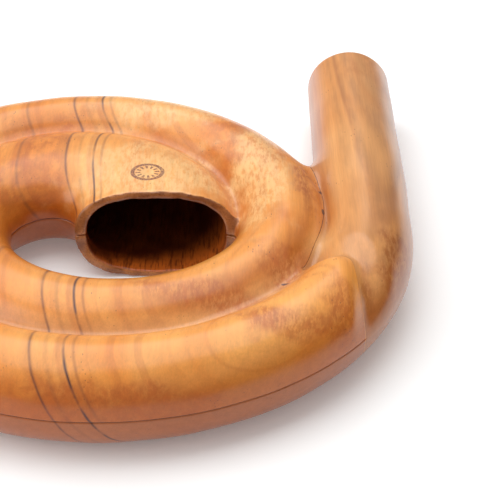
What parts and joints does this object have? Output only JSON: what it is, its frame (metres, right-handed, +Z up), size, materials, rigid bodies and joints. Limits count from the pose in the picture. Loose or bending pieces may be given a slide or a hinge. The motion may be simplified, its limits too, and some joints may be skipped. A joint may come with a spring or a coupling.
{
  "type": "didgeridoo",
  "caption": "Coiled wooden didgeridoo that lies flat: a straight neck winds inwards as a round tube and opens through a wide oval bell facing the middle of the spiral.",
  "frame": {"origin": "under the middle of the object's box, on the surface that it rests on", "axes": "+Z up, square to the seam; +Y along the neck towards its mouth end; +X from the coil towards the neck"},
  "size_m": [0.358, 0.3804, 0.057],
  "materials": {
    "upper_board": "golden brown hardwood, sanded smooth, glossy clear lacquer",
    "lower_board": "redder brown hardwood, sanded smooth, glossy clear lacquer",
    "neck_wood": "pale golden hardwood with fine pores, glossy clear lacquer",
    "glue": "dark brown hardened glue line"
  },
  "bodies": {
    "root": {"coil_upper_half": "upper_board", "coil_lower_half": "lower_board", "neck_tube": "neck_wood", "seam_glue": "glue", "neck_glue": "glue"}
  },
  "joints": []
}
